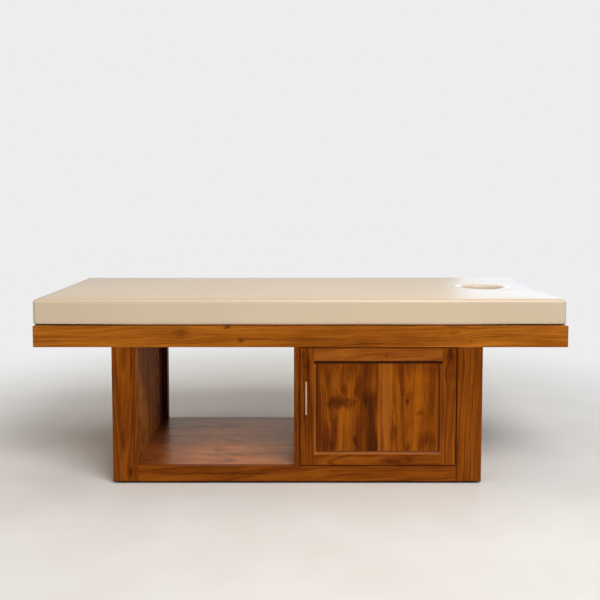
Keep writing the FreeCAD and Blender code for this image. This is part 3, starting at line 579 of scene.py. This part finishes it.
# The steel's warm tint is painted reflection of the teak round it.
steel = fitting("satin_steel", stain(226, 192, 162), stain(208, 174, 144), 1.0, 0.34, (700, 700, 25))
bronze = fitting("dark_bronze", stain(74, 34, 12), stain(62, 28, 10), 0.2, 0.6, specular=0.1)
zinc = fitting("zinc", stain(196, 196, 192), stain(168, 168, 166), 1.0, 0.4)
nylon = fitting("black_nylon", stain(22, 22, 22), stain(34, 33, 32), 0.0, 0.6)
plastic = fitting("brown_plastic", stain(66, 44, 30), stain(78, 54, 38), 0.0, 0.5)
ferrite = fitting("ferrite", stain(58, 58, 60), stain(70, 69, 68), 0.4, 0.6)
for material, members in (
    (steel, ("handle_bar", "handle_posts")),
    (bronze, ("hinge_leaves_post", "hinge_leaves_door", "hinge_pins")),
    (zinc, ("corner_screws", "top_bolts", "handle_screws", "hinge_screws_post", "hinge_screws_door",
            "catch_screws", "strike_plate", "strike_screw")),
    (nylon, ("glides",)),
    (plastic, ("catch_body",)),
    (ferrite, ("catch_magnet",)),
):
    for node in members:
        finish_node(node, material)


# The cushion's foam: one slab of firm foam with the face hole cut through it. The cover is drawn
# tight over it, so the slab is a little smaller than the space inside the cover.
cushion_low, cushion_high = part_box("cushion_cover")
hole_middle = Vector((0.778, 0.075, 0.0))
hole_radius = 0.090


def round_off(shape, edges, radius, segments):
    """Rounds some edges of a shape."""
    bmesh.ops.bevel(shape, geom=edges, offset=radius, segments=segments, profile=0.5, affect="EDGES",
                    material=-1)


def rounded_slab(name, low, high, corner, top_round, low_round):
    """A flat block with its upright corners, its top edge and its lower edge rounded."""
    shape = bmesh.new()
    bmesh.ops.create_cube(shape, size=1.0)
    bmesh.ops.scale(shape, vec=high - low, verts=shape.verts)
    bmesh.ops.translate(shape, vec=(low + high) / 2, verts=shape.verts)
    upright = [edge for edge in shape.edges if abs(edge.verts[0].co.z - edge.verts[1].co.z) > 0.01]
    round_off(shape, upright, corner, 6)
    for height, radius in ((high.z, top_round), (low.z, low_round)):
        level = [edge for edge in shape.edges if all(abs(v.co.z - height) < 1e-5 for v in edge.verts)]
        round_off(shape, level, radius, 5)
    mesh = bpy.data.meshes.new(name)
    shape.to_mesh(mesh)
    shape.free()
    made = bpy.data.objects.new(name, mesh)
    scene.collection.objects.link(made)
    return made


def settle(piece):
    """Makes the shape that a piece's modifiers give into its own mesh."""
    shown = piece.evaluated_get(bpy.context.evaluated_depsgraph_get())
    shaped = bpy.data.meshes.new_from_object(shown)
    piece.modifiers.clear()
    piece.data = shaped


def bore(piece, outline):
    """Cuts a hole through a piece, turned round the face hole's middle. outline is its profile."""
    turned = bmesh.new()
    line = [turned.verts.new((hole_middle.x + away, hole_middle.y, height))
            for away, height in outline]
    rim = [turned.edges.new(pair) for pair in zip(line, line[1:])]
    bmesh.ops.spin(turned, geom=line + rim, cent=hole_middle, axis=(0, 0, 1), angle=2 * math.pi,
                   steps=72, use_merge=True)
    bmesh.ops.remove_doubles(turned, verts=turned.verts, dist=1e-5)
    bmesh.ops.recalc_face_normals(turned, faces=turned.faces)
    mesh = bpy.data.meshes.new("bore")
    turned.to_mesh(mesh)
    turned.free()
    tool = bpy.data.objects.new("bore", mesh)
    scene.collection.objects.link(tool)
    cut = piece.modifiers.new("hole", "BOOLEAN")
    cut.operation = "DIFFERENCE"
    cut.solver = "EXACT"
    cut.object = tool
    settle(piece)
    bpy.data.objects.remove(tool)


foam_inset = 0.009
overrun = 0.02
foam_low, foam_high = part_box("cushion_foam")
foam_block = rounded_slab(
    "foam_block", Vector((cushion_low.x + foam_inset, cushion_low.y + foam_inset, foam_low.z)),
    Vector((cushion_high.x - foam_inset, cushion_high.y - foam_inset, cushion_high.z - foam_inset)),
    corner=0.018, top_round=0.012, low_round=0.003)
foam_hole = hole_radius + foam_inset
flare, flare_depth = 0.02, 0.03
bore(foam_block, [(0.0, foam_low.z - overrun), (foam_hole, foam_low.z - overrun),
                  (foam_hole, foam_high.z - flare_depth), (foam_hole + flare, foam_high.z + overrun),
                  (0.0, foam_high.z + overrun)])
foam_block.data.materials.clear()
foam_block.data.materials.append(
    fitting("foam", stain(236, 222, 178), stain(228, 212, 164), 0.0, 0.9, (400, 400, 400)))
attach(foam_block, "bed")
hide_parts("cushion_foam")


# The cushion's cover: cream vinyl with a basket weave, sewn from a top panel and a side band,
# with a padded roll round the face hole, a painted highlight on the roll, painted shade inside
# the hole and a dark strip of painted shadow along its lower edge. It is swollen by cloth
# simulation, and drawn in along its sides as the real one is.
end_bulge = 0.002
crown = 0.0025
slab_low = cushion_low - Vector((end_bulge, 0.0, 0.0))
slab_high = Vector((cushion_high.x + end_bulge, cushion_high.y, cushion_high.z - crown))
cushion_middle = (slab_low + slab_high) / 2
half = (slab_high - slab_low) / 2
cushion = rounded_slab("cushion", slab_low, slab_high, corner=0.014, top_round=0.011, low_round=0.006)
roll_width, roll_depth, roll_steps = 0.013, 0.014, 7
throat = hole_radius - 0.0035
profile = [(0.0, slab_low.z - overrun), (throat, slab_low.z - overrun),
           (throat, slab_high.z - roll_depth)]
for step in range(1, roll_steps + 1):
    turn = math.pi / 2 * step / roll_steps
    profile.append((throat + roll_width * (1 - math.cos(turn)),
                    slab_high.z - roll_depth * (1 - math.sin(turn))))
profile += [(throat + roll_width, slab_high.z + overrun), (0.0, slab_high.z + overrun)]
bore(cushion, profile)
pattern = bpy.data.objects.new("pattern", cushion.data.copy())
scene.collection.objects.link(pattern)
even = cushion.modifiers.new("even", "REMESH")
even.mode = "VOXEL"
even.voxel_size = 0.0115
settle(cushion)

side_draw = 0.002
end_draw = 0.002
lower_lift = 0.0035
roll_rise = 0.002
roll_middle, roll_spread = hole_radius + 0.019, 0.012
seam_away, seam_spread, seam_sink = hole_radius + 0.037, 0.006, 0.0007
lower_part, upper_part = 0.25, 0.6
lower_waver, side_waver = 0.0012, 0.0008


def pull(spot):
    """Draws the sides in between the corners, crowns the top, lifts the lower edge and the roll."""
    along = (spot.x - cushion_middle.x) / half.x
    across = (spot.y - cushion_middle.y) / half.y
    up = (spot.z - slab_low.z) / (slab_high.z - slab_low.z)
    ripple = noise.noise((spot.x * 5.0, spot.y * 5.0, 3.7))
    away = math.hypot(spot.x - hole_middle.x, spot.y - hole_middle.y)
    rim = max(abs(across), abs(along)) ** 20
    moved = spot.copy()
    moved.y -= math.copysign(side_draw * (1 - along ** 2) * abs(across) ** 6, across)
    moved.x -= math.copysign(end_draw * (1 - across ** 2) * abs(along) ** 30, along)
    moved.z += crown * up * (1 - abs(across) ** 3) * (1 - abs(along) ** 8)
    if up < lower_part:
        edge = lower_waver * (0.4 + ripple) + lower_lift * abs(along) ** 14
        moved.z += max(edge, 0.0) * (1 - up / lower_part) * rim
    if up > upper_part:
        moved.z += roll_rise * math.exp(-((away - roll_middle) / roll_spread) ** 2)
        moved.z -= seam_sink * math.exp(-((away - seam_away) / seam_spread) ** 2)
    moved.y += side_waver * ripple * across ** 8
    return moved


def even_out(values, edges, rounds):
    """Evens values out between neighbouring points, so that no sharp crease is left."""
    for _ in range(rounds):
        totals, counts = list(values), [1] * len(values)
        for one, other in edges:
            totals[one] += values[other]
            totals[other] += values[one]
            counts[one] += 1
            counts[other] += 1
        values = [total / count for total, count in zip(totals, counts)]
    return values


# The swelling is found on a coarse mesh, evened out, and given to a finer one on the pattern.
most_out, most_in = 0.003, 0.0004
held_height, last_frame, even_rounds = 0.014, 20, 14
swelling = cushion.data.attributes.new("swelling", "FLOAT", "POINT")
before = [vertex.co.copy() for vertex in cushion.data.vertices]
facing_out = [vertex.normal.copy() for vertex in cushion.data.vertices]
swollen = cushion.copy()
swollen.data = cushion.data.copy()
scene.collection.objects.link(swollen)
held = swollen.vertex_groups.new(name="held")
low_points = [n for n, spot in enumerate(before) if spot.z < slab_low.z + held_height]
held.add(low_points, 1.0, "REPLACE")
swell = swollen.modifiers.new("swell", "CLOTH")
swell.settings.use_pressure = True
swell.settings.uniform_pressure_force = 4.0
swell.settings.effector_weights.gravity = 0.0
swell.settings.vertex_group_mass = "held"
swell.settings.tension_stiffness = 40
swell.settings.compression_stiffness = 40
swell.settings.bending_stiffness = 4
swell.settings.quality = 4
scene.frame_start, scene.frame_end = 1, last_frame
for number in range(1, last_frame + 1):
    scene.frame_set(number)
settle(swollen)
scene.frame_set(1)
moved = [(vertex.co - start).dot(outward)
         for vertex, start, outward in zip(swollen.data.vertices, before, facing_out)]
moved = [min(max(way, -most_in), most_out) for way in moved]
joined = [tuple(edge.vertices) for edge in cushion.data.edges]
for number, way in enumerate(even_out(moved, joined, even_rounds)):
    swelling.data[number].value = way
bpy.data.objects.remove(swollen)

finer = cushion.modifiers.new("finer", "SUBSURF")
finer.levels = finer.render_levels = 1
drawn_on = cushion.modifiers.new("drawn_on", "SHRINKWRAP")
drawn_on.target = pattern
drawn_on.wrap_method = "NEAREST_SURFACEPOINT"
settle(cushion)
bpy.data.objects.remove(pattern)
swelling = cushion.data.attributes["swelling"]
outward = [vertex.normal.copy() for vertex in cushion.data.vertices]
lowest = cushion_low.z + 0.0002
for vertex, way in zip(cushion.data.vertices, outward):
    vertex.co = pull(vertex.co) + way * swelling.data[vertex.index].value
    vertex.co.z = max(vertex.co.z, lowest)
for face in cushion.data.polygons:
    face.use_smooth = True


def cover_vinyl(name):
    """Cream vinyl, with a basket weave of small leaning squares pressed in, seams, a painted highlight
    on the roll, painted shade in the hole and painted shadow along the lower edge.
    """
    material, tree = blank_material(name)
    coordinates = put(tree, "TexCoord").outputs
    turned = put(tree, "VectorMath", coordinates["Normal"], operation="ABSOLUTE").outputs[0]
    facing = put(tree, "SeparateXYZ", turned).outputs
    spot = put(tree, "SeparateXYZ", coordinates["Object"]).outputs
    on_top = reckon(tree, "GREATER_THAN", facing[2], 0.75)
    on_end = reckon(tree, "GREATER_THAN", facing[0], 0.72)
    first = put(tree, "Mix", on_end, None, spot[0], spot[1]).outputs[0]
    second = put(tree, "Mix", on_top, None, spot[2], spot[1]).outputs[0]
    stretched = cloud(tree, coordinates["Object"], (3, 3, 3), 2.0).outputs[1]
    stretched = put(tree, "SeparateXYZ", stretched).outputs
    first = reckon(tree, "MULTIPLY_ADD", stretched[0], 0.022, first)
    second = reckon(tree, "MULTIPLY_ADD", stretched[1], 0.012, second)
    pitch, rise, ribs_across = 0.0132, 0.0120, 6
    vinyl_shine, lower_shadow_shine = 0.45, 0.02

    def wave(socket, across):
        return reckon(tree, "COSINE", reckon(tree, "MULTIPLY", socket, 2 * math.pi / across))

    leaning = reckon(tree, "MULTIPLY", second, pitch / rise)
    leaning = [wave(reckon(tree, way, first, leaning), pitch) for way in ("ADD", "SUBTRACT")]
    slant = cloud(tree, coordinates["Object"], (6, 6, 6), 3.0).outputs[0]
    check = put(tree, "Mix", ease(tree, slant, 0.30, 0.70, 0.20, 0.80), None, *leaning).outputs[0]
    square = ease(tree, check, -0.3, 0.3)
    ribs = put(tree, "Mix", square, None, wave(first, pitch / ribs_across),
               wave(second, rise / ribs_across)).outputs[0]
    fine = cloud(tree, coordinates["Object"], (900, 900, 900), 2.0, 0.6).outputs[0]
    patch = cloud(tree, coordinates["Object"], (2.2, 2.2, 2.2), 2.0).outputs[0]
    off = put(tree, "VectorMath", coordinates["Object"], tuple(hole_middle), operation="SUBTRACT")
    off = put(tree, "VectorMath", off.outputs[0], (1, 1, 0), operation="MULTIPLY").outputs[0]
    away = put(tree, "VectorMath", off, operation="LENGTH").outputs[1]
    rounding = ease(tree, spot[2], cushion_high.z - 0.0165, cushion_high.z - 0.0120)
    flat_top = ease(tree, facing[2], 0.90, 0.99, 0.0, 0.45)
    woven = reckon(tree, "MAXIMUM", reckon(tree, "SUBTRACT", 1.0, rounding), flat_top)
    light_square, dark_square = stain(225, 205, 176), stain(207, 185, 156)
    between, worn, sewn = stain(212, 192, 166), stain(206, 184, 155), stain(158, 132, 102)
    roll_highlight, hole_shade, lower_painted_shadow = stain(232, 222, 204), stain(206, 190, 170), stain(52, 20, 5)
    colour = tint(tree, square, dark_square, light_square)
    colour = tint(tree, woven, between, colour)
    colour = tint(tree, ease(tree, patch, 0.35, 0.65, 0.0, 0.3), colour, worn)
    ring_seam = reckon(tree, "ABSOLUTE", reckon(tree, "SUBTRACT", away, seam_away))
    side_seam = reckon(tree, "ABSOLUTE", reckon(tree, "SUBTRACT", spot[2], slab_high.z - 0.0008))
    near_hole = reckon(tree, "LESS_THAN", away, hole_radius + 0.06)
    side_seam = reckon(tree, "ADD", side_seam, near_hole)
    seam_line = ease(tree, reckon(tree, "MINIMUM", side_seam, ring_seam), 0.0022, 0.0006)
    colour = tint(tree, reckon(tree, "MULTIPLY", seam_line, 0.3), colour, sewn)
    # Painted highlight: the roll round the face hole is made paler.
    roll_highlight_share = ease(tree, away, seam_away + 0.003, seam_away - 0.012, 0.0, 0.55)
    colour = tint(tree, roll_highlight_share, colour, roll_highlight)
    # Painted shade: the wall inside the face hole is made darker.
    hole_shade_share = ease(tree, away, throat + 0.004, throat + 0.001, 0.0, 0.85)
    colour = tint(tree, hole_shade_share, colour, hole_shade)
    # Painted shadow: a dark strip along the lower edge, rising towards the ends, with little shine.
    to_end = reckon(tree, "ABSOLUTE", reckon(tree, "SUBTRACT", spot[0], cushion_middle.x))
    lower_shadow_top = reckon(tree, "MULTIPLY_ADD", patch, 0.003, cushion_low.z + 0.0024)
    lower_shadow_top = reckon(tree, "ADD", lower_shadow_top, ease(tree, to_end, 0.55, 0.93, 0.0, 0.0026))
    lower_shadow_share = reckon(tree, "LESS_THAN", spot[2], lower_shadow_top)
    colour = tint(tree, lower_shadow_share, colour, lower_painted_shadow)
    height = reckon(tree, "MULTIPLY_ADD", check, 0.5, reckon(tree, "MULTIPLY", ribs, 0.35))
    height = reckon(tree, "MULTIPLY", height, woven)
    height = reckon(tree, "MULTIPLY_ADD", fine, 0.15, height)
    height = reckon(tree, "MULTIPLY_ADD", seam_line, -2.0, height)
    shader = put(tree, "BsdfPrincipled")
    tree.links.new(colour, shader.inputs["Base Color"])
    tree.links.new(reckon(tree, "MULTIPLY_ADD", fine, 0.10, 0.27), shader.inputs["Roughness"])
    shine = reckon(tree, "MULTIPLY_ADD", lower_shadow_share, lower_shadow_shine - vinyl_shine, vinyl_shine)
    tree.links.new(shine, shader.inputs["Specular IOR Level"])
    close(tree, shader, height, 0.35, 0.0005)
    return material


cushion.data.materials.clear()
cushion.data.materials.append(cover_vinyl("cushion_vinyl"))
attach(cushion, "bed")
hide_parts("cushion_cover")
